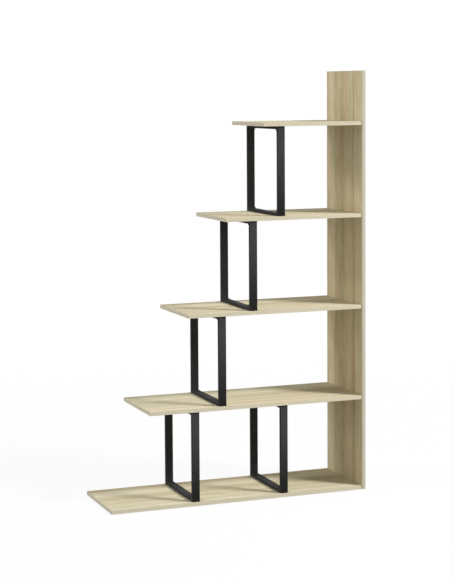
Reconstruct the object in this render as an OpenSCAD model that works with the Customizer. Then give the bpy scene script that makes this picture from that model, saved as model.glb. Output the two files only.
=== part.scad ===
// Ladder bookcase in millimetres. A tall side panel carries the right ends of a base board and four shelves, each
// shorter than the board below it, and welded steel tube frames between the boards carry their free ends.
// X runs along the boards toward the panel, the front faces -Y, and Z = 0 is the floor.

/* [Boards] */
// Thickness of every board
board_t = 18; // [16:1:25]
// Depth of the boards and of the side panel, front to back
depth = 400; // [300:5:500]
// Length of the base board
base_len = 1260; // [1150:5:1400]
// How much shorter each board is than the one below it
step_len = 188.5; // [160:0.5:200]
// Rise of the side panel above the top shelf
panel_rise = 240; // [100:5:400]
// Thickness of the edge banding
band_t = 2; // [0.4:0.1:3]
// Width of the shadow groove between a board's front or back edge and the side panel
groove_w = 3.5; // [1:0.1:5]
// Depth of that groove
groove_depth = 7; // [3.5:0.5:12]

/* [Frames] */
// Outer height of a frame, which is the clear height between two boards
frame_h = 420; // [300:5:500]
// Distance from the boards' front and back edges to a frame
frame_inset = 6; // [2:1:20]
// Width of the steel tube across the frame
tube_w = 38; // [30:1:50]
// Thickness of the steel tube in the plane of the frame
tube_b = 20; // [16:1:25]
// Wall of the tube
tube_wall = 1.5; // [1:0.1:2]
// Outer corner radius of the tube
tube_r = 2.5; // [2.2:0.1:4]
// From the left end of shelf 1 to the left face of the outer base frame
outer_base_set = 203.5; // [150:0.5:250]
// Clear width between the inner base frame and the side panel
inner_bay = 386; // [300:1:450]
// From the left end of shelf 2 to the left face of frame 1
frame_1_set = 150; // [100:0.5:200]
// From the left end of shelf 3 to the left face of frame 2
frame_2_set = 119; // [80:0.5:160]
// From the left end of the top shelf to the left face of frame 3
frame_3_set = 72.5; // [40:0.5:120]

/* [Frame screws] */
// Diameter of the screws' shanks
screw_d = 4; // [3.5:0.1:5]
// How far a screw bites into its board
screw_bite = 13; // [8:0.5:14]
// Length of a screw's point
screw_tip = 3; // [2:0.5:5]
// Diameter of a screw's head
screw_head_d = 9; // [8:0.5:11]
// Height of a screw's head
screw_head_h = 2.4; // [2:0.1:3]
// Bevel round a screw's head
screw_head_bevel = 1; // [0.5:0.1:1.5]
// From the front or back face of a frame to its screws
screw_set = 60; // [40:1:90]
// Length of each arm of the cross recess in a screw's head, end to end
recess_l = 4.4; // [3:0.1:5]
// Width of each arm of the cross recess
recess_w = 1; // [0.6:0.1:1.4]
// Depth of the cross recess
recess_depth = 1.4; // [0.8:0.1:1.6]
// How much wider the holes through the tube are than the screws
tube_hole_gap = 0.5; // [0.2:0.1:1]

/* [Cam joints] */
// Diameter of a cam lock
cam_d = 15; // [12:1:20]
// Metal of a cam lock above the bolt's head
cam_cap = 1.2; // [0.8:0.1:1.5]
// From the end of a board to the middle of its cam locks
cam_set = 34; // [24:1:40]
// From the boards' front and back edges to the cam locks
cam_edge = 50; // [40:1:60]
// Length of the driver slot in a cam lock
cam_slot_l = 9; // [6:0.5:11]
// Width of the driver slot in a cam lock
cam_slot_w = 1.6; // [1:0.1:2.5]
// Depth of the driver slot in a cam lock
cam_slot_depth = 2; // [1:0.1:3]
// Diameter of a cam bolt's shaft
bolt_shaft_d = 7; // [6:0.1:7.5]
// Diameter of a cam bolt's neck
bolt_neck_d = 4; // [3:0.1:5]
// Diameter of a cam bolt's head
bolt_head_d = 6.5; // [5.5:0.1:7]
// Length of a cam bolt's head
bolt_head_l = 3; // [2:0.1:4]
// Gap between a cam bolt's shaft and the cam lock
bolt_shoulder_gap = 0.6; // [0.3:0.1:2]
// Diameter of a cam bolt's thread
bolt_thread_d = 5; // [4:0.1:6]
// Length of a cam bolt's thread in the panel
bolt_thread_l = 11; // [8:0.5:13]
// Bevel at the end of a cam bolt's thread
bolt_bevel = 1; // [0.4:0.1:1.5]
// Diameter of a dowel
dowel_d = 8; // [6:1:10]
// Length of a dowel
dowel_l = 30; // [25:1:40]
// Length of a dowel that sits in the side panel
dowel_in_panel = 10; // [8:0.5:13]
// Bevel at a dowel's ends
dowel_bevel = 1; // [0.5:0.1:2]
// From the boards' front and back edges to the dowels
dowel_edge = 82; // [75:1:100]

/* [Floor glides] */
// Height of a floor glide
glide_h = 4; // [3:0.5:8]
// Diameter of a floor glide
glide_d = 16; // [12:1:16]
// Bevel round a glide's foot
glide_bevel = 1; // [0.5:0.1:1.5]
// From the boards' front, back and left edges to the middle of a glide
glide_edge = 40; // [25:1:60]
// Diameter of a glide's nail
nail_d = 2; // [1.5:0.1:2.5]
// Diameter of the nail's head
nail_head_d = 5; // [4:0.1:6]
// Thickness of the nail's head
nail_head_h = 0.8; // [0.5:0.1:1]
// Depth of the nail's head in the glide, from the floor up to its seat
nail_sink = 1.6; // [1.2:0.1:2]
// How far a nail bites into its board
nail_bite = 10; // [6:0.5:13]

/* [Clearances] */
// How much wider a bore is than the piece it holds
fit_gap = 0.2; // [0.1:0.05:0.3]
// How much deeper a blind bore is than the piece it holds
bore_spare = 0.5; // [0.2:0.1:1]
// How much wider the bore round a cam bolt's shaft is than the shaft
bolt_bore_gap = 1; // [0.4:0.1:1.5]
// Seam between two strips of edge banding at a corner
band_seam = 0.1; // [0.05:0.05:0.3]

/* [Hidden] */
$fn = 48;

// Colours of the finishes
oak = [0.81, 0.77, 0.66];
oak_band = [0.84, 0.81, 0.69];
black = [0.2, 0.19, 0.18];
zinc = [0.74, 0.75, 0.76];
beech = [0.85, 0.7, 0.5];
grey_plastic = [0.6, 0.6, 0.6];

// How far a cutting shape runs past the face that it opens
cut = 1;

// The boards, counted from the base board as 0 up to the top shelf
top = 4;
levels = [0 : top];
panel_x = (base_len - board_t) / 2;
panel_h = (top + 1) * board_t + top * frame_h + panel_rise;
function level_z(n) = glide_h + n * (board_t + frame_h);
function board_l(n) = base_len - n * step_len;
function board_end(n) = panel_x - board_l(n);

// The frames, counted from the outer base frame as 0 and the inner base frame as 1. Both base frames stand on the
// base board, and each later frame stands on the next shelf. All but the inner one are placed from the left end of
// the board above them.
inner = 1;
frame_sets = [outer_base_set, inner_bay, frame_1_set, frame_2_set, frame_3_set];
frames = [0 : len(frame_sets) - 1];
frame_d = depth - 2 * frame_inset;
function frame_board(k) = max(0, k - inner);
function frame_left(k) =
    k == inner ? panel_x - frame_sets[k] - tube_w : board_end(frame_board(k) + 1) + frame_sets[k];
function frame_x(k) = frame_left(k) + tube_w / 2;
function frame_z(k) = level_z(frame_board(k)) + board_t;

// Places along Y, the same at the front and at the back
screw_y = frame_d / 2 - screw_set;
cam_y = depth / 2 - cam_edge;
dowel_y = depth / 2 - dowel_edge;
glide_y = depth / 2 - glide_edge;
sides = [-1, 1];

// The strip of banding between two corners, the screws' length, and the height in a board of its bolts and dowels
end_strip_l = depth - 2 * band_t - 2 * band_seam;
screw_l = tube_b + screw_bite;
axis_z = board_t / 2;

// The cam locks' height, and the ends of a cam bolt's head and shaft from the end of the board
cam_h = axis_z + bolt_head_d / 2 + cam_cap;
bolt_end = cam_set + bolt_head_l / 2;
bolt_shoulder = cam_set - cam_d / 2 - bolt_shoulder_gap;

// Glides stand near the left end and the middle of the base board, and under the side panel
glide_x = [board_end(0) + glide_edge, panel_x - base_len / 2, panel_x + board_t / 2];

// A cylinder that points along +X
module bar_x(d, l) {
    rotate([0, 90, 0]) cylinder(d = d, h = l);
}

// A cross recess or slot arm of a driver, sunk upward from z = 0
module driver_arm(l, w, h) {
    translate([-l / 2, -w / 2, -cut]) cube([l, w, h + cut]);
}

// Boards, with the bores for all that is driven into them and a groove at the front and back of their joint

module screw_bores(n) {
    depth_z = screw_bite + bore_spare;
    for (k = frames, s = sides) translate([frame_x(k), s * screw_y, 0]) {
        if (frame_board(k) == n) translate([0, 0, level_z(n) + board_t - depth_z]) screw_bore(depth_z + cut);
        if (frame_board(k) + 1 == n) translate([0, 0, level_z(n) - cut]) screw_bore(depth_z + cut);
    }
}

module screw_bore(l) {
    cylinder(d = screw_d + fit_gap, h = l);
}

module cam_pockets(n) {
    for (s = sides) translate([panel_x, s * cam_y, level_z(n)]) {
        translate([-cam_set, 0, -cut]) cylinder(d = cam_d + fit_gap, h = cam_h + bore_spare + cut);
        translate([-cam_set, 0, axis_z]) bar_x(bolt_shaft_d + bolt_bore_gap, cam_set + cut);
    }
}

module dowel_bores(n) {
    in_board = dowel_l - dowel_in_panel + bore_spare;
    for (s = sides) translate([panel_x - in_board, s * dowel_y, level_z(n) + axis_z])
        bar_x(dowel_d + fit_gap, in_board + cut);
}

module nail_bores(z, places) {
    for (x = places, s = sides) translate([x, s * glide_y, z - cut])
        cylinder(d = nail_d + fit_gap, h = nail_bite + bore_spare + cut);
}

module shadow_grooves(n) {
    for (s = sides) translate([panel_x, s * (depth - groove_depth) / 2, level_z(n) + axis_z])
        cube([2 * groove_w, groove_depth, board_t + 2 * cut], center = true);
}

module board(n) {
    color(oak) difference() {
        translate([board_end(n) + band_t, band_t - depth / 2, level_z(n)])
            cube([board_l(n) - band_t, depth - 2 * band_t, board_t]);
        screw_bores(n);
        cam_pockets(n);
        dowel_bores(n);
        shadow_grooves(n);
        if (n == 0) nail_bores(glide_h, [glide_x[0], glide_x[1]]);
    }
}

module side_panel() {
    color(oak) difference() {
        translate([panel_x, band_t - depth / 2, glide_h])
            cube([board_t, depth - 2 * band_t, panel_h - band_t]);
        for (n = levels, s = sides) translate([panel_x - cut, 0, level_z(n) + axis_z]) {
            translate([0, s * cam_y, 0]) bar_x(bolt_thread_d + fit_gap, bolt_thread_l + bore_spare + cut);
            translate([0, s * dowel_y, 0]) bar_x(dowel_d + fit_gap, dowel_in_panel + bore_spare + cut);
        }
        nail_bores(glide_h, [glide_x[2]]);
    }
}

module base_board() { board(0); }
module shelf_1() { board(1); }
module shelf_2() { board(2); }
module shelf_3() { board(3); }
module top_shelf() { board(top); }

// Edge banding: strips along the front and back edges, and one across the end between them

module banding(n) {
    color(oak_band) {
        for (s = sides) translate([board_end(n), s * (depth - band_t) / 2 - band_t / 2, level_z(n)])
            cube([board_l(n) - groove_w, band_t, board_t]);
        translate([board_end(n), -end_strip_l / 2, level_z(n)])
            cube([band_t, end_strip_l, board_t]);
    }
}

module panel_banding() {
    color(oak_band) {
        for (s = sides) translate([panel_x, s * (depth - band_t) / 2 - band_t / 2, glide_h])
            cube([board_t, band_t, panel_h]);
        translate([panel_x, -end_strip_l / 2, glide_h + panel_h - band_t])
            cube([board_t, end_strip_l, band_t]);
    }
}

module base_banding() { banding(0); }
module shelf_1_banding() { banding(1); }
module shelf_2_banding() { banding(2); }
module shelf_3_banding() { banding(3); }
module top_banding() { banding(top); }

// Frames: two posts and two rails of steel tube, mitred at the corners and welded into a closed rectangle

module round_rect(w, h, r) {
    square([w - 2 * r, h], center = true);
    square([w, h - 2 * r], center = true);
    for (x = sides, y = sides) translate([x * (w / 2 - r), y * (h / 2 - r)]) circle(r);
}

// A tube that stands on z = 0 with its outer face at y = 0, and whose ends are mitred so that the face at +Y is shorter
module mitred_tube(l) {
    intersection() {
        translate([0, tube_b / 2, -cut]) linear_extrude(l + 2 * cut) difference() {
            round_rect(tube_w, tube_b, tube_r);
            round_rect(tube_w - 2 * tube_wall, tube_b - 2 * tube_wall, tube_r - tube_wall);
        }
        rotate([90, 0, 90]) linear_extrude(tube_w + 2 * cut, center = true) polygon([
            [-cut, -cut],
            [tube_b + cut, tube_b + cut],
            [tube_b + cut, l - tube_b - cut],
            [-cut, l + cut]
        ]);
    }
}

module frame_posts(k) {
    color(black) translate([frame_x(k), 0, frame_z(k)])
        for (turn = [0, 180]) rotate(turn) translate([0, -frame_d / 2, 0]) mitred_tube(frame_h);
}

module frame_rails(k) {
    color(black) translate([frame_x(k), 0, frame_z(k) + frame_h / 2])
        for (turn = [0, 180]) rotate([turn, 0, 0]) translate([0, 0, frame_h / 2]) difference() {
            translate([0, -frame_d / 2, 0]) rotate([-90, 0, 0]) mitred_tube(frame_d);
            for (s = sides) translate([0, s * screw_y, -tube_b - cut])
                cylinder(d = screw_d + tube_hole_gap, h = tube_b + 2 * cut);
        }
}

module outer_base_posts() { frame_posts(0); }
module inner_base_posts() { frame_posts(1); }
module frame_1_posts() { frame_posts(2); }
module frame_2_posts() { frame_posts(3); }
module frame_3_posts() { frame_posts(4); }

module outer_base_rails() { frame_rails(0); }
module inner_base_rails() { frame_rails(1); }
module frame_1_rails() { frame_rails(2); }
module frame_2_rails() { frame_rails(3); }
module frame_3_rails() { frame_rails(4); }

// Frame screws, driven through the rails from inside a frame's window

// One screw that points up, with the underside of its head at z = 0
module screw() {
    difference() {
        rotate_extrude() polygon([
            [0, -screw_head_h],
            [screw_head_d / 2 - screw_head_bevel, -screw_head_h],
            [screw_head_d / 2, screw_head_bevel - screw_head_h],
            [screw_head_d / 2, 0],
            [screw_d / 2, 0],
            [screw_d / 2, screw_l - screw_tip],
            [0, screw_l]
        ]);
        for (turn = [0, 90]) rotate(turn) translate([0, 0, -screw_head_h])
            driver_arm(recess_l, recess_w, recess_depth);
    }
}

module frame_screws(k) {
    color(black) for (s = sides) translate([frame_x(k), s * screw_y, frame_z(k)]) {
        translate([0, 0, tube_b]) mirror([0, 0, 1]) screw();
        translate([0, 0, frame_h - tube_b]) screw();
    }
}

module outer_base_screws() { frame_screws(0); }
module inner_base_screws() { frame_screws(1); }
module frame_1_screws() { frame_screws(2); }
module frame_2_screws() { frame_screws(3); }
module frame_3_screws() { frame_screws(4); }

// Cam locks: round housings in a board's underside, each with a room for the bolt's head and a slot for its neck

module cams(n) {
    head_room = bolt_head_l + fit_gap;
    color(zinc) for (s = sides) translate([panel_x - cam_set, s * cam_y, level_z(n)]) difference() {
        cylinder(d = cam_d, h = cam_h);
        driver_arm(cam_slot_l, cam_slot_w, cam_slot_depth);
        translate([-head_room / 2, 0, axis_z]) bar_x(bolt_head_d + fit_gap, head_room);
        translate([0, 0, axis_z]) bar_x(bolt_neck_d + fit_gap, cam_d);
    }
}

module base_cams() { cams(0); }
module shelf_1_cams() { cams(1); }
module shelf_2_cams() { cams(2); }
module shelf_3_cams() { cams(3); }
module top_cams() { cams(top); }

// Cam bolts: the thread is in the side panel, and the head is held by the cam lock

module cam_bolts(n) {
    color(zinc) for (s = sides) translate([panel_x, s * cam_y, level_z(n) + axis_z]) rotate([0, 90, 0])
        rotate_extrude() polygon([
            [0, -bolt_end],
            [bolt_head_d / 2, -bolt_end],
            [bolt_head_d / 2, bolt_head_l - bolt_end],
            [bolt_neck_d / 2, bolt_head_l - bolt_end],
            [bolt_neck_d / 2, -bolt_shoulder],
            [bolt_shaft_d / 2, -bolt_shoulder],
            [bolt_shaft_d / 2, 0],
            [bolt_thread_d / 2, 0],
            [bolt_thread_d / 2, bolt_thread_l - bolt_bevel],
            [bolt_thread_d / 2 - bolt_bevel, bolt_thread_l],
            [0, bolt_thread_l]
        ]);
}

module base_cam_bolts() { cam_bolts(0); }
module shelf_1_cam_bolts() { cam_bolts(1); }
module shelf_2_cam_bolts() { cam_bolts(2); }
module shelf_3_cam_bolts() { cam_bolts(3); }
module top_cam_bolts() { cam_bolts(top); }

// Dowels between each board and the side panel

module dowels(n) {
    color(beech) for (s = sides)
        translate([panel_x + dowel_in_panel - dowel_l, s * dowel_y, level_z(n) + axis_z]) rotate([0, 90, 0])
            rotate_extrude() polygon([
                [0, 0],
                [dowel_d / 2 - dowel_bevel, 0],
                [dowel_d / 2, dowel_bevel],
                [dowel_d / 2, dowel_l - dowel_bevel],
                [dowel_d / 2 - dowel_bevel, dowel_l],
                [0, dowel_l]
            ]);
}

module base_dowels() { dowels(0); }
module shelf_1_dowels() { dowels(1); }
module shelf_2_dowels() { dowels(2); }
module shelf_3_dowels() { dowels(3); }
module top_dowels() { dowels(top); }

// Floor glides: plastic pads nailed under the base board and the panel

module floor_glides() {
    color(grey_plastic) for (x = glide_x, s = sides) translate([x, s * glide_y, 0])
        rotate_extrude() polygon([
            [(nail_head_d + fit_gap) / 2, 0],
            [glide_d / 2 - glide_bevel, 0],
            [glide_d / 2, glide_bevel],
            [glide_d / 2, glide_h],
            [(nail_d + fit_gap) / 2, glide_h],
            [(nail_d + fit_gap) / 2, nail_sink],
            [(nail_head_d + fit_gap) / 2, nail_sink]
        ]);
}

module glide_nails() {
    color(zinc) for (x = glide_x, s = sides) translate([x, s * glide_y, 0]) {
        translate([0, 0, nail_sink - nail_head_h]) cylinder(d = nail_head_d, h = nail_head_h);
        translate([0, 0, nail_sink]) cylinder(d = nail_d, h = glide_h - nail_sink + nail_bite);
    }
}

side_panel();
base_board();
shelf_1();
shelf_2();
shelf_3();
top_shelf();
panel_banding();
base_banding();
shelf_1_banding();
shelf_2_banding();
shelf_3_banding();
top_banding();
outer_base_posts();
inner_base_posts();
frame_1_posts();
frame_2_posts();
frame_3_posts();
outer_base_rails();
inner_base_rails();
frame_1_rails();
frame_2_rails();
frame_3_rails();
outer_base_screws();
inner_base_screws();
frame_1_screws();
frame_2_screws();
frame_3_screws();
base_cams();
shelf_1_cams();
shelf_2_cams();
shelf_3_cams();
top_cams();
base_cam_bolts();
shelf_1_cam_bolts();
shelf_2_cam_bolts();
shelf_3_cam_bolts();
top_cam_bolts();
base_dowels();
shelf_1_dowels();
shelf_2_dowels();
shelf_3_dowels();
top_dowels();
floor_glides();
glide_nails();
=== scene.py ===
import math

import bmesh
import bpy
from mathutils import Matrix, Vector


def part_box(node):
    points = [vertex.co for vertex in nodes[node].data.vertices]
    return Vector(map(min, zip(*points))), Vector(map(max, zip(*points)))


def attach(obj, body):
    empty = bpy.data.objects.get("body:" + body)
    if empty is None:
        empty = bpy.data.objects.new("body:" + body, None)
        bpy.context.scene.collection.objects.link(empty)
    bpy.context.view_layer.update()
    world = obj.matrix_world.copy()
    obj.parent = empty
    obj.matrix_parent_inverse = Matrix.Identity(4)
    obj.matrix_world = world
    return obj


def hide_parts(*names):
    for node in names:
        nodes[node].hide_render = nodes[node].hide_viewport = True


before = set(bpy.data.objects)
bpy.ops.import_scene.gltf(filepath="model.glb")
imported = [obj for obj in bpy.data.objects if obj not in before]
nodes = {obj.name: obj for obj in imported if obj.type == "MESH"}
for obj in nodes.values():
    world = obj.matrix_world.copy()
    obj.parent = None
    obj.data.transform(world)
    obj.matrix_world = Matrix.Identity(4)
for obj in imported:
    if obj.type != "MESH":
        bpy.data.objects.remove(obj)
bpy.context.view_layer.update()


# Base board and shelves: 18 mm chipboard in a light oak melamine skin, the grain along the boards. Each is
# bored for the frames' screws and for the cam joint with the side panel, which has a narrow groove at its
# front and back. The print repeats its broad stripes from board to board, but not its finer figure. The
# darker band along each board's back edge is painted shade.
X, Y, Z = range(3)
HALF_DEPTH = 0.2

# Where in the print's noise each board's finer figure starts
FIGURE_STARTS = {"base_board": 0.0, "shelf_1": 3.1, "shelf_2": 7.7, "shelf_3": 12.4, "top_shelf": 18.2}

# The print's colours from dark to light, its two tints, and its pores
OAK = ((0.515, 0.448, 0.292, 1), (0.65, 0.59, 0.426, 1), (0.76, 0.705, 0.54, 1))
OAK_ROSY = (1.035, 0.98, 0.935, 1)
OAK_GREEN = (0.97, 1.0, 0.985, 1)
OAK_PORE = (0.33, 0.26, 0.16, 1)

# Broad stripes from the front edge to the back: their place in metres and how much lighter they are; the
# last, darkest one along the back edge is painted shade
BOARD_STRIPES_AND_BACK_SHADE = ((-0.2, 0.15), (-0.172, 0.3), (-0.145, -0.05), (-0.115, 0.2), (-0.07, -0.12), (-0.035, 0.08),
                 (0.0, -0.22), (0.035, -0.22), (0.09, 0.25), (0.135, 0.17), (0.165, -0.15), (0.2, -0.35))

# Layers of the figure: patches to a metre along and across the grain, offset, detail and roughness
LAYERS = {
    "body": (0.45, 13, 0, 1.0, 0.5),
    "streaks": (2.0, 62, 2, 3.0, 0.6),
    "strands": (9, 150, 3, 2.0, 0.6),
    "fibres": (12, 600, 4, 2.0, 0.6),
    "pores": (60, 1400, 6, 1.0, 0.5),
    "hues": (0.7, 22, 8, 1.0, 0.5),
}
FLECKS = (14, 34, 9, 1.0, 0.5)

# What the layers add to the tone: the span of the noise that counts, and the tone at that span's two ends
LAYER_TONES = {
    "streaks": (0.25, 0.75, 0.26, 0.76),
    "body": (0.3, 0.7, -0.1, 0.1),
    "strands": (0.25, 0.75, -0.26, 0.26),
    "fibres": (0.3, 0.7, -0.08, 0.08),
}
RING_COUNT, RING_EDGE, RING_DARKNESS = 17.0, 0.45, 0.13
FLECK_EDGE, FLECK_FULL, FLECK_DARK, FLECK_PALE = 0.5, 0.68, -0.3, 0.7
HUE_SPAN = (0.35, 0.65)
PORE_EDGE, PORE_FULL, PORE_DARKNESS = 0.62, 0.70, 0.3
FIBRE_HEIGHT = 0.5
DRIFT_ALONG, DRIFT_ACROSS, DRIFT = 1.3, 5.0, 0.03

# The span that most of any noise falls in
NOISE_SPAN = (0.3, 0.7)

# The colour sockets of a Mix node
MIX_A, MIX_B, MIX_RESULT = 6, 7, 2


def add(tree, kind, inputs=None, **settings):
    """A node of the material, with its settings and with its inputs set or linked."""
    node = tree.nodes.new("ShaderNode" + kind)
    for name, value in settings.items():
        setattr(node, name, value)
    for name, value in (inputs or {}).items():
        if isinstance(value, bpy.types.NodeSocket):
            tree.links.new(value, node.inputs[name])
        else:
            node.inputs[name].default_value = value
    return node


def blank(name, specular):
    """A new material: its node tree and its surface shader."""
    material = bpy.data.materials.new(name)
    material.use_nodes = True
    shader = material.node_tree.nodes["Principled BSDF"]
    shader.inputs["Specular IOR Level"].default_value = specular
    return material, material.node_tree, shader


def surface(tree, shader, colour, roughness, height, strength, depth):
    """Gives the shader its colour and roughness, and bumps of that height, depth metres deep."""
    bump = add(tree, "Bump", {"Height": height, "Strength": strength, "Distance": depth})
    tree.links.new(colour, shader.inputs["Base Color"])
    tree.links.new(roughness, shader.inputs["Roughness"])
    tree.links.new(bump.outputs["Normal"], shader.inputs["Normal"])


def dress(name, material):
    """Gives a CAD node its finish."""
    slots = nodes[name].data.materials
    slots.clear()
    slots.append(material)


def object_place(tree):
    return add(tree, "TexCoord").outputs["Object"]


def calc(tree, operation, *values):
    return add(tree, "Math", dict(enumerate(values)), operation=operation).outputs[0]


def mixed(tree, share, a, b, blend="MIX"):
    """Two colours mixed, with that share of the second."""
    inputs = {"Factor": share, MIX_A: a, MIX_B: b}
    return add(tree, "Mix", inputs, data_type="RGBA", blend_type=blend).outputs[MIX_RESULT]


def spread(tree, value, low, high, to_low=0.0, to_high=1.0):
    """The value, spread from low..high to to_low..to_high and held inside them."""
    inputs = {"Value": value, "From Min": low, "From Max": high, "To Min": to_low, "To Max": to_high}
    return add(tree, "MapRange", inputs).outputs["Result"]


def ramp_of(tree, value, colours):
    """The value from 0 to 1 as a colour, over colours at even distances."""
    ramp = add(tree, "ValToRGB", {"Fac": value})
    stops = ramp.color_ramp.elements
    stops[0].color, stops[1].color = colours[0], colours[-1]
    for i, colour in enumerate(colours[1:-1], 1):
        stops.new(i / (len(colours) - 1)).color = colour
    return ramp.outputs["Color"]


def noise(tree, place, scale, detail, roughness=0.5):
    inputs = {"Vector": place, "Scale": scale, "Detail": detail, "Roughness": roughness}
    return add(tree, "TexNoise", inputs).outputs


def drawn_out(tree, place, axis, along, across, offset):
    """The place, scaled so that noise has patches 1/along metres long on the axis, 1/across metres wide."""
    scale = [across] * 3
    scale[axis] = along
    return add(tree, "Mapping", {"Vector": place, "Scale": scale, "Location": offset}).outputs["Vector"]


def grain(tree, place, axis, along, across, shift, detail, roughness):
    """Noise drawn out along one axis."""
    stretched = drawn_out(tree, place, axis, along, across, (shift, shift * 0.7, shift * 1.3))
    return noise(tree, stretched, 1.0, detail, roughness)["Fac"]


def wavy_place(tree, axis, shift):
    """Object coordinates with the grain's slow sideways drift."""
    place = object_place(tree)
    slow = drawn_out(tree, place, axis, DRIFT_ALONG, DRIFT_ACROSS, (shift, 1.0, 2.0))
    wander = noise(tree, slow, scale=1.0, detail=1.0)["Color"]
    centred = add(tree, "VectorMath", {0: wander, 1: (0.5, 0.5, 0.5)}, operation="SUBTRACT").outputs["Vector"]
    small = add(tree, "VectorMath", {0: centred, "Scale": DRIFT}, operation="SCALE").outputs["Vector"]
    return add(tree, "VectorMath", {0: place, 1: small}, operation="ADD").outputs["Vector"]


def stripes_across(tree, place, stripes):
    """Tone of the broad stripes across the board's depth, with the boards' painted shade at the back edge
    among them.
    """
    y = add(tree, "SeparateXYZ", {"Vector": place}).outputs["Y"]
    ramp = add(tree, "ValToRGB", {"Fac": spread(tree, y, -HALF_DEPTH, HALF_DEPTH)})
    ramp.color_ramp.interpolation = "EASE"
    stops = ramp.color_ramp.elements
    stops[0].color, stops[1].color = [(0.5 + stripes[i][1],) * 3 + (1,) for i in (0, -1)]
    for at, tone in stripes[1:-1]:
        stops.new(at / (2 * HALF_DEPTH) + 0.5).color = (0.5 + tone,) * 3 + (1,)
    return calc(tree, "SUBTRACT", ramp.outputs["Color"], 0.5)


def oak_skin(name, axis, start, stripes, colours, fleck=0.0):
    """Light oak melamine: broad stripes, growth rings, streaks, fibres and short dark pores along the grain,
    and pale flecks across it where the print has them."""
    material, tree, shader = blank(name, specular=0.03)
    place = wavy_place(tree, axis, start)

    def layer(along, across, offset, detail, roughness):
        return grain(tree, place, axis, along, across, start + offset, detail, roughness)

    figure = {kind: layer(*pattern) for kind, pattern in LAYERS.items()}
    tone = stripes_across(tree, place, stripes)
    for kind, span in LAYER_TONES.items():
        tone = calc(tree, "ADD", tone, spread(tree, figure[kind], *span))
    rings = calc(tree, "FRACT", calc(tree, "MULTIPLY", figure["body"], RING_COUNT))
    late_wood = spread(tree, rings, RING_EDGE, 1.0)
    tone = calc(tree, "SUBTRACT", tone, calc(tree, "MULTIPLY", late_wood, RING_DARKNESS))
    if fleck:
        pale = spread(tree, layer(*FLECKS), FLECK_EDGE, FLECK_FULL, FLECK_DARK * fleck, FLECK_PALE * fleck)
        tone = calc(tree, "ADD", tone, pale)

    tint = mixed(tree, spread(tree, figure["hues"], *HUE_SPAN), OAK_GREEN, OAK_ROSY)
    tinted = mixed(tree, 1.0, ramp_of(tree, tone, colours), tint, "MULTIPLY")
    pit = spread(tree, figure["pores"], PORE_EDGE, PORE_FULL)
    colour = mixed(tree, calc(tree, "MULTIPLY", pit, PORE_DARKNESS), tinted, OAK_PORE)
    roughness = spread(tree, figure["fibres"], *NOISE_SPAN, 0.68, 0.8)
    height = calc(tree, "SUBTRACT", calc(tree, "MULTIPLY", figure["fibres"], FIBRE_HEIGHT), pit)
    surface(tree, shader, colour, roughness, height, strength=0.25, depth=0.00012)
    return material


# The boards' stripes end in a painted shade along their back edges.
for name, start in FIGURE_STARTS.items():
    dress(name, oak_skin("oak_" + name, X, start, BOARD_STRIPES_AND_BACK_SHADE, OAK))


# Side panel: the same oak melamine board, standing on its end with the grain upright. It shows a slightly
# warmer part of the print, with a light plank at the back, a thin dark ring line in the front half and faint
# flecks. The boards' cam bolts and dowels are let into its inner face.
PANEL_OAK = ((0.52, 0.422, 0.254, 1), (0.672, 0.582, 0.385, 1), (0.793, 0.71, 0.502, 1))
PANEL_STRIPES = ((-0.2, 0.14), (-0.13, 0.02), (-0.115, -0.02), (-0.109, -0.5), (-0.099, -0.5), (-0.093, 0.02),
                 (-0.05, 0.05), (-0.01, -0.04), (0.012, -0.24), (0.03, -0.2), (0.05, -0.1), (0.108, -0.16),
                 (0.118, 0.34), (0.155, 0.34), (0.175, 0.2), (0.2, -0.2))
PANEL_START = 23.5
PANEL_FLECK = 0.16

dress("side_panel", oak_skin("oak_side_panel", Z, PANEL_START, PANEL_STRIPES, PANEL_OAK, PANEL_FLECK))


# Edge banding: 2 mm plastic strips in the boards' colour, glued along the front and back edges and across the
# free end, and trimmed with a small round along their outer edges.
BAND_T = 0.002
BAND_SEAM = 0.0001
BAND_ROUND, BAND_ROUND_STEPS = 0.0007, 3
END_INSET = BAND_T + BAND_SEAM
BOARD_BAND = ((0.60, 0.54, 0.392, 1), (0.70, 0.64, 0.48, 1))
PANEL_BAND = ((0.495, 0.452, 0.345, 1), (0.595, 0.552, 0.438, 1))
BANDED_BOARDS = ("base", "shelf_1", "shelf_2", "shelf_3", "top")
TOUCHING = 1e-6
PLACE_DIGITS = 6


def box(bm, low, high):
    """Adds a box between two corners, and returns its edges."""
    low, high = Vector(low), Vector(high)
    place = Matrix.Translation((low + high) / 2) @ Matrix.Diagonal((high - low).to_4d())
    verts = bmesh.ops.create_cube(bm, size=1.0, matrix=place)["verts"]
    return {edge for vert in verts for edge in vert.link_edges}


def round_edges(bm, edges, radius, segments):
    bmesh.ops.bevel(bm, geom=edges, offset=radius, offset_type="OFFSET", segments=segments, profile=0.5,
                    affect="EDGES", material=-1)


def put_in_order(faces):
    """Sorts the faces by their places, because the strips' bevel leaves them in another order each run."""
    def place(face):
        return tuple(round(c, PLACE_DIGITS) for c in face.calc_center_median())

    ranks = {face: rank for rank, face in enumerate(sorted(faces, key=place))}
    faces.sort(key=ranks.get)


def strip(bm, low, high, axis, outer, ends=True):
    """A strip of banding whose outer face lies across the axis at outer, with that face's edges rounded."""
    edges = box(bm, low, high)
    outer_edges = [e for e in edges if all(abs(v.co[axis] - outer) < TOUCHING for v in e.verts)]
    if not ends:
        length = max(e.calc_length() for e in outer_edges)
        outer_edges = [e for e in outer_edges if e.calc_length() > length / 2]
    round_edges(bm, outer_edges, BAND_ROUND, BAND_ROUND_STEPS)
    put_in_order(bm.faces)


def front_and_back_strips(bm, low, high):
    strip(bm, low, (high.x, low.y + BAND_T, high.z), Y, low.y)
    strip(bm, (low.x, high.y - BAND_T, low.z), high, Y, high.y)


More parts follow.
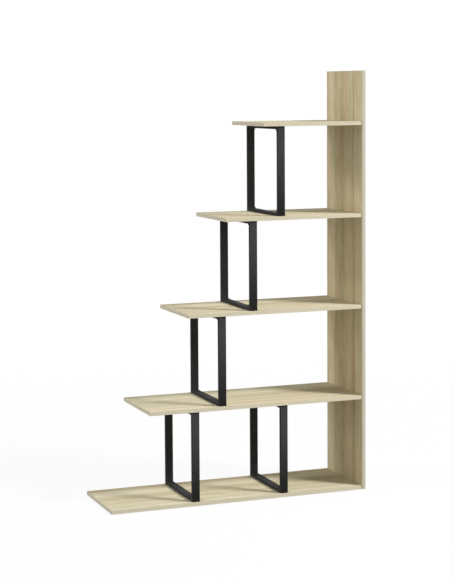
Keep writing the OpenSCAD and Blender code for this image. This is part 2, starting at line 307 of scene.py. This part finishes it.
def finish(name, bm, material, replaced):
    """Makes the piece an object that rides on the bookcase, in place of its CAD nodes."""
    bmesh.ops.recalc_face_normals(bm, faces=bm.faces)
    for face in bm.faces:
        face.smooth = True
    mesh = bpy.data.meshes.new(name)
    bm.to_mesh(mesh)
    bm.free()
    mesh.materials.append(material)
    piece = bpy.data.objects.new(name, mesh)
    bpy.context.scene.collection.objects.link(piece)
    weighted = piece.modifiers.new("even_faces", "WEIGHTED_NORMAL")
    weighted.keep_sharp = True
    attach(piece, "root")
    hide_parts(*replaced)


def banding_skin(name, axis, colours):
    """Plain oak-coloured plastic with faint streaks that run along the strips, fine across their width."""
    material, tree, shader = blank(name, specular=0.1)
    place = object_place(tree)

    def lines(coarse, fine, shift):
        stretched = drawn_out(tree, place, axis, fine, coarse, (shift,) * 3)
        return noise(tree, stretched, scale=1.0, detail=2.0)["Fac"]

    broad = spread(tree, lines(coarse=2.5, fine=260, shift=1), *NOISE_SPAN, 0.2, 0.8)
    narrow = spread(tree, lines(coarse=30, fine=2200, shift=5), *NOISE_SPAN, -0.15, 0.15)
    tone = calc(tree, "ADD", broad, narrow)
    roughness = spread(tree, tone, 0.2, 0.8, 0.5, 0.42)
    surface(tree, shader, ramp_of(tree, tone, colours), roughness, tone, strength=0.15, depth=0.0001)
    return material


board_band = banding_skin("oak_banding_boards", Z, BOARD_BAND)
for name in BANDED_BOARDS:
    low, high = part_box(name + "_banding")
    bm = bmesh.new()
    front_and_back_strips(bm, low, high)
    end_low = (low.x, low.y + END_INSET, low.z)
    end_high = (low.x + BAND_T, high.y - END_INSET, high.z)
    strip(bm, end_low, end_high, X, low.x, ends=False)
    finish(name + "_edges", bm, board_band, [name + "_banding"])

panel_band = banding_skin("oak_banding_panel", X, PANEL_BAND)
low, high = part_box("panel_banding")
bm = bmesh.new()
front_and_back_strips(bm, low, high)
top_low = (low.x, low.y + END_INSET, high.z - BAND_T)
top_high = (high.x, high.y - END_INSET, high.z)
strip(bm, top_low, top_high, Z, high.z, ends=False)
finish("panel_edges", bm, panel_band, ["panel_banding"])


# Frames: 38 x 20 mm steel tube, mitred at the corners, welded into a rectangle, ground flush and powder
# coated in a fine matt black. Two stand on the base board and one on each of the lower three shelves.
TUBE_B = 0.02
TUBE_R, TUBE_R_STEPS = 0.0025, 4
FRAMES = ("outer_base", "inner_base", "frame_1", "frame_2", "frame_3")
COAT = ((0.034, 0.034, 0.0345, 1), (0.052, 0.052, 0.053, 1))
SIDEWAYS = 0.9
CORNER_ANGLE = 1.0


def powder_coat():
    """Matt black powder coat: a fine orange-peel skin with slight changes of gloss."""
    material, tree, shader = blank("black_powder_coat", specular=0.01)
    place = object_place(tree)
    peel = noise(tree, place, scale=900.0, detail=2.0, roughness=0.6)["Fac"]
    cloud = noise(tree, place, scale=35.0, detail=2.0)["Fac"]
    cloudy = spread(tree, cloud, *NOISE_SPAN, 0.2, 0.6)
    speckled = spread(tree, peel, *NOISE_SPAN, 0.0, 0.3)
    colour = ramp_of(tree, calc(tree, "ADD", cloudy, speckled), COAT)
    roughness = spread(tree, cloud, *NOISE_SPAN, 0.5, 0.62)
    surface(tree, shader, colour, roughness, peel, strength=0.3, depth=0.00015)
    return material


coat = powder_coat()
for name in FRAMES:
    low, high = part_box(name + "_posts")
    bm = bmesh.new()
    box(bm, low, high)
    sides = [f for f in bm.faces if abs(f.normal.x) > SIDEWAYS]
    bmesh.ops.inset_individual(bm, faces=sides, thickness=TUBE_B)
    rims = [e for f in sides for e in f.edges]
    bmesh.ops.delete(bm, geom=sides, context="FACES_ONLY")
    bmesh.ops.bridge_loops(bm, edges=rims)
    bmesh.ops.recalc_face_normals(bm, faces=bm.faces)
    corners = [e for e in bm.edges if e.calc_face_angle() > CORNER_ANGLE]
    along = [e for e in corners if abs(e.verts[0].co.x - e.verts[1].co.x) < TOUCHING]
    round_edges(bm, along, TUBE_R, TUBE_R_STEPS)
    finish(name + "_tube_frame", bm, coat, [name + "_posts", name + "_rails"])


# Frame screws: black zinc-plated steel pan heads with a cross recess, two driven down and two up through each
# frame's rails into the boards below and above it.
BLACK_ZINC = ((0.02, 0.02, 0.02, 1), (0.05, 0.05, 0.052, 1))
DULLER, GLOSSIER = 0.08, 0.06


def dull_metal(name, colours, metallic, roughness, scale):
    """Metal with a slightly clouded skin."""
    material, tree, shader = blank(name, specular=0.5)
    shader.inputs["Metallic"].default_value = metallic
    cloud = noise(tree, object_place(tree), scale, detail=3.0, roughness=0.6)["Fac"]
    colour = ramp_of(tree, spread(tree, cloud, *NOISE_SPAN), colours)
    clouded = spread(tree, cloud, *NOISE_SPAN, roughness - GLOSSIER, roughness + DULLER)
    surface(tree, shader, colour, clouded, cloud, strength=0.2, depth=0.0001)
    return material


black_zinc = dull_metal("black_zinc", BLACK_ZINC, metallic=0.6, roughness=0.42, scale=700.0)
for name in FRAMES:
    dress(name + "_screws", black_zinc)


# Dowels, cam bolts and cam locks: the joint of each board with the side panel. Beech dowels carry the weight,
# and the zinc cam locks in the board's underside pull the bolts that are screwed into the panel.
BEECH = ((0.5, 0.33, 0.18, 1), (0.66, 0.48, 0.3, 1))
CAST_ZINC = ((0.52, 0.53, 0.54, 1), (0.72, 0.73, 0.74, 1))
TURNED_ZINC = ((0.6, 0.61, 0.62, 1), (0.78, 0.79, 0.8, 1))


def beech():
    """Raw beech with short fine fibres along the dowel."""
    material, tree, shader = blank("raw_beech", specular=0.3)
    place = object_place(tree)
    fibres = grain(tree, place, X, along=60, across=1200, shift=0.5, detail=3.0, roughness=0.6)
    colour = ramp_of(tree, spread(tree, fibres, *NOISE_SPAN), BEECH)
    roughness = spread(tree, fibres, *NOISE_SPAN, 0.7, 0.85)
    surface(tree, shader, colour, roughness, fibres, strength=0.4, depth=0.0002)
    return material


raw_beech = beech()
cast_zinc = dull_metal("cast_zinc", CAST_ZINC, metallic=1.0, roughness=0.4, scale=900.0)
turned_zinc = dull_metal("turned_zinc", TURNED_ZINC, metallic=1.0, roughness=0.3, scale=1500.0)
for name in BANDED_BOARDS:
    dress(name + "_dowels", raw_beech)
    dress(name + "_cams", cast_zinc)
    dress(name + "_cam_bolts", turned_zinc)


# Floor glides: moulded grey plastic pads under the base board and the panel, which keep both off the floor.
# Each is held by one steel nail through its middle.
GLIDE_GREY = ((0.42, 0.42, 0.42, 1), (0.52, 0.52, 0.515, 1))
NAIL_STEEL = ((0.5, 0.5, 0.5, 1), (0.66, 0.66, 0.66, 1))


def glide_plastic():
    """Moulded grey plastic, dull and slightly mottled."""
    material, tree, shader = blank("glide_plastic", specular=0.35)
    mottle = noise(tree, object_place(tree), scale=260.0, detail=3.0)["Fac"]
    colour = ramp_of(tree, spread(tree, mottle, *NOISE_SPAN), GLIDE_GREY)
    roughness = spread(tree, mottle, *NOISE_SPAN, 0.5, 0.65)
    surface(tree, shader, colour, roughness, mottle, strength=0.2, depth=0.0001)
    return material


nail_steel = dull_metal("nail_steel", NAIL_STEEL, metallic=1.0, roughness=0.35, scale=1200.0)
dress("floor_glides", glide_plastic())
dress("glide_nails", nail_steel)


# Studio floor and surroundings: a wide pale floor that goes over into white, under an even white sky. It
# throws little light back up under the shelves.
FLOOR_SIZE = 80.0
FLOOR_PALE = (0.82, 0.82, 0.82, 1)
FLOOR_BOUNCE = (0.4, 0.4, 0.4, 1)
FLOOR_WHITE_SHARE = 0.93
FADE_START, FADE_END = 1.5, 5.0
SKY_LIGHT = 0.11
WHITE = (1, 1, 1, 1)

bm = bmesh.new()
bmesh.ops.create_grid(bm, x_segments=1, y_segments=1, size=FLOOR_SIZE / 2)
floor_mesh = bpy.data.meshes.new("floor")
bm.to_mesh(floor_mesh)
bm.free()
floor = bpy.data.objects.new("floor", floor_mesh)
bpy.context.scene.collection.objects.link(floor)


def seen_directly(tree):
    """1 for rays from the camera, a glossy surface or through glass, and 0 for the rays that carry light."""
    path = add(tree, "LightPath")
    seen = calc(tree, "MAXIMUM", path.outputs["Is Camera Ray"], path.outputs["Is Glossy Ray"])
    return calc(tree, "MAXIMUM", seen, path.outputs["Is Transmission Ray"])


floor_material, tree, _ = blank("pale_floor", specular=0.5)
tree.nodes.clear()
pale = add(tree, "BsdfDiffuse", {"Color": FLOOR_PALE}).outputs["BSDF"]
bounce = add(tree, "BsdfDiffuse", {"Color": FLOOR_BOUNCE}).outputs["BSDF"]
white = add(tree, "Emission", {"Color": WHITE, "Strength": 1.0}).outputs["Emission"]
away = add(tree, "VectorMath", {0: object_place(tree)}, operation="LENGTH").outputs["Value"]
share = spread(tree, away, FADE_START, FADE_END, FLOOR_WHITE_SHARE, 1.0)
shown = add(tree, "MixShader", {0: share, 1: pale, 2: white}).outputs["Shader"]
both = add(tree, "MixShader", {0: seen_directly(tree), 1: bounce, 2: shown}).outputs["Shader"]
add(tree, "OutputMaterial", {"Surface": both})
floor_mesh.materials.append(floor_material)

world = bpy.data.worlds.new("white_studio")
bpy.context.scene.world = world
world.use_nodes = True
tree = world.node_tree
tree.nodes.clear()
sky = add(tree, "Background", {"Color": WHITE, "Strength": SKY_LIGHT}).outputs["Background"]
backdrop = add(tree, "Background", {"Color": WHITE, "Strength": 1.0}).outputs["Background"]
either = add(tree, "MixShader", {0: seen_directly(tree), 1: sky, 2: backdrop}).outputs["Shader"]
add(tree, "OutputWorld", {"Surface": either})


# Lamps: a main lamp and a softbox from the front right, a lamp from the left that reaches the panel's inner
# face under the shelves, and a broad bank of soft light on either side. None of them shows in the picture.

# Far lamps: azimuth from the front toward the right, elevation, strength and width, the angles in degrees
FAR_LAMPS = {
    "main_lamp": (48, 38, 2.45, 12),
    "left_lamp": (262, 28.5, 0.62, 14),
    "left_bank": (270, 30, 1.14, 90),
    "right_bank": (90, 30, 1.03, 90),
}
SOFTBOX_PLACE = Vector((2.5, -2.0, 2.0))
SOFTBOX_AIM = Vector((0, 0, 1))
SOFTBOX_SIZE = 0.8
SOFTBOX_WATTS = 30

for name, (azimuth, elevation, strength, width) in FAR_LAMPS.items():
    light = bpy.data.lights.new(name, "SUN")
    light.energy = strength
    light.angle = math.radians(width)
    a, e = math.radians(azimuth), math.radians(elevation)
    toward = Vector((math.sin(a) * math.cos(e), -math.cos(a) * math.cos(e), math.sin(e)))
    lamp = bpy.data.objects.new(name, light)
    lamp.rotation_euler = toward.to_track_quat("Z", "Y").to_euler()
    bpy.context.scene.collection.objects.link(lamp)

light = bpy.data.lights.new("front_right_softbox", "AREA")
light.shape = "DISK"
light.size = SOFTBOX_SIZE
light.energy = SOFTBOX_WATTS
softbox = bpy.data.objects.new("front_right_softbox", light)
softbox.location = SOFTBOX_PLACE
softbox.rotation_euler = (SOFTBOX_AIM - SOFTBOX_PLACE).to_track_quat("-Z", "Y").to_euler()
softbox.visible_camera = False
bpy.context.scene.collection.objects.link(softbox)


# Camera: placed and turned by the bookcase's own edges in the photograph, with the lens shifted so that its
# centre lies above the middle of the frame.
YAW, PITCH, ROLL = math.radians(21.1525), math.radians(4.117), math.radians(0.341)
CAMERA_PLACE = Vector((-2.81225, -7.27768, 1.92992))
FOCAL_PX, FRAME_H_PX, CENTRE_Y_PX = 1651.84, 584, 208.0
SENSOR_MM = 36.0

ahead = Vector((math.sin(YAW) * math.cos(PITCH), math.cos(YAW) * math.cos(PITCH), -math.sin(PITCH)))
level_right = Vector((math.cos(YAW), -math.sin(YAW), 0))
level_down = ahead.cross(level_right)
right = level_right * math.cos(ROLL) + level_down * math.sin(ROLL)
down = level_down * math.cos(ROLL) - level_right * math.sin(ROLL)
lens = bpy.data.cameras.new("camera")
lens.sensor_width = SENSOR_MM
lens.sensor_fit = "AUTO"
lens.lens = FOCAL_PX * SENSOR_MM / FRAME_H_PX
lens.shift_y = (CENTRE_Y_PX - FRAME_H_PX / 2) / FRAME_H_PX
lens.clip_end = 200
camera = bpy.data.objects.new("camera", lens)
turned = Matrix((right, -down, -ahead)).transposed().to_4x4()
camera.matrix_world = Matrix.Translation(CAMERA_PLACE) @ turned
bpy.context.scene.collection.objects.link(camera)
bpy.context.scene.camera = camera
bpy.context.scene.view_settings.view_transform = "Standard"
